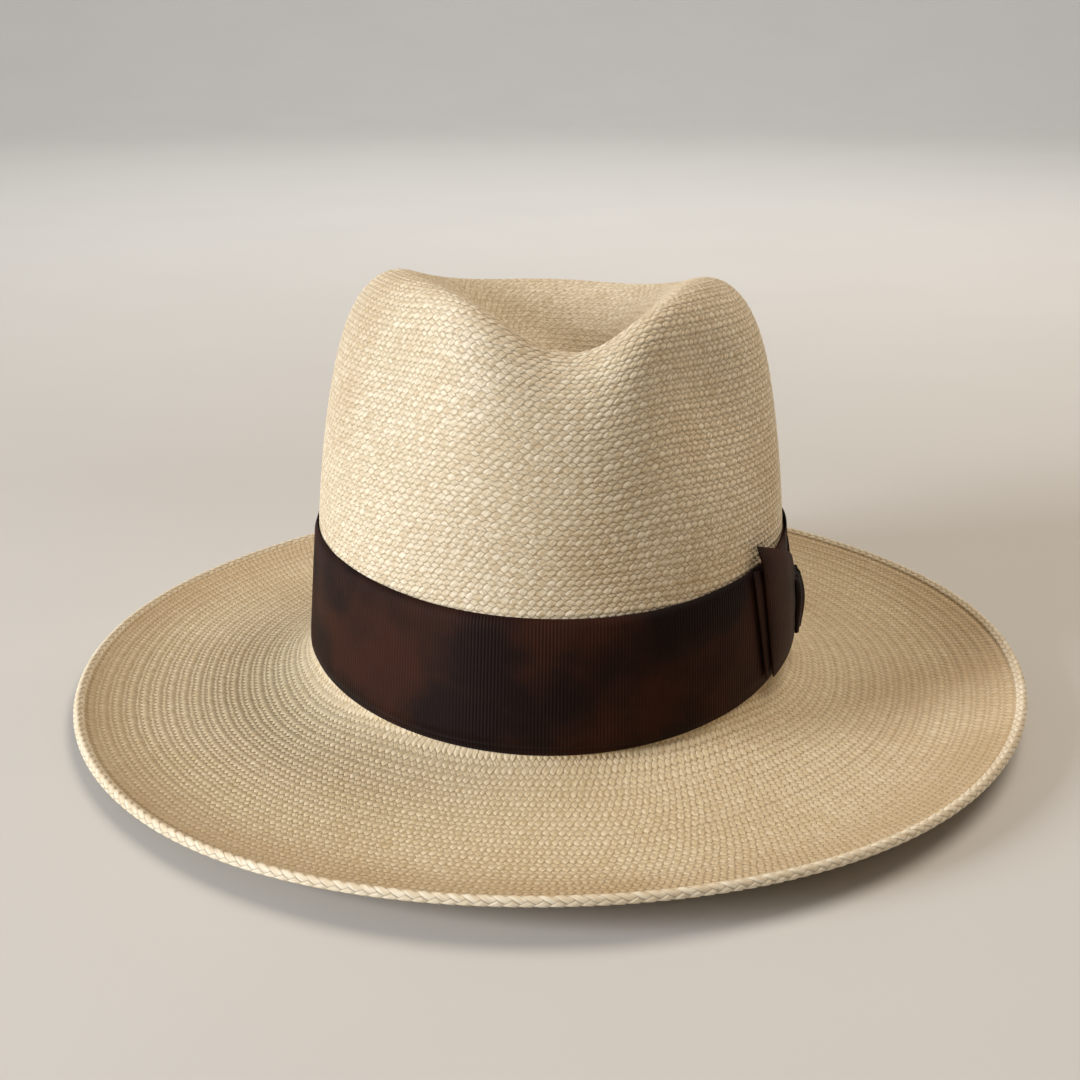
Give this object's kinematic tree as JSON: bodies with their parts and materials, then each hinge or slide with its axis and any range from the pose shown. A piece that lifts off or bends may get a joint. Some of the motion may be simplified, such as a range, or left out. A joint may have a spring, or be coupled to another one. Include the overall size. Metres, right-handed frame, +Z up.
{
  "type": "panama hat",
  "caption": "Woven straw hat with a creased, pinched crown, cupped round brim with plaited edge, wide dark ribbed ribbon with a side bow, and leather sweatband.",
  "frame": {"origin": "middle of the brim in plan, on the surface the hat rests on", "axes": "+Z up, +Y towards the back of the hat, +X towards the wearer's left, where the bow is"},
  "size_m": [0.3472, 0.3808, 0.1526],
  "materials": {
    "toquilla_straw": "two-over-two diagonal weave of split toquilla straw, matt with a faint straw sheen",
    "plaited_straw": "plaited straw edge, slightly brighter than the brim",
    "ribbon": "very dark brown ribbed grosgrain ribbon, soft sheen",
    "sweatband_leather": "smooth brown roan leather",
    "welt_cloth": "plain woven cotton tape",
    "reed": "plain reed cord",
    "thread": "cotton sewing thread",
    "join_tape": "brown woven tape",
    "small_ribbon": "narrow dark brown satin ribbon",
    "tab_paper": "plain blank woven tab"
  },
  "bodies": {
    "root": {"straw_body": "toquilla_straw", "brim_edge_braid": "plaited_straw", "band_underlay": "ribbon", "hat_band": "ribbon", "bow_backing": "ribbon", "bow_under_loop": "ribbon", "bow_front_loop": "ribbon", "bow_rear_loop": "ribbon", "bow_knot": "ribbon", "sweatband": "sweatband_leather", "sweatband_welt": "welt_cloth", "sweatband_reed": "reed", "sweatband_seam_thread": "thread", "sweatband_join_tape": "join_tape", "rear_bow_left_loop": "small_ribbon", "rear_bow_right_loop": "small_ribbon", "rear_bow_knot": "small_ribbon", "size_tab": "tab_paper"}
  },
  "joints": []
}
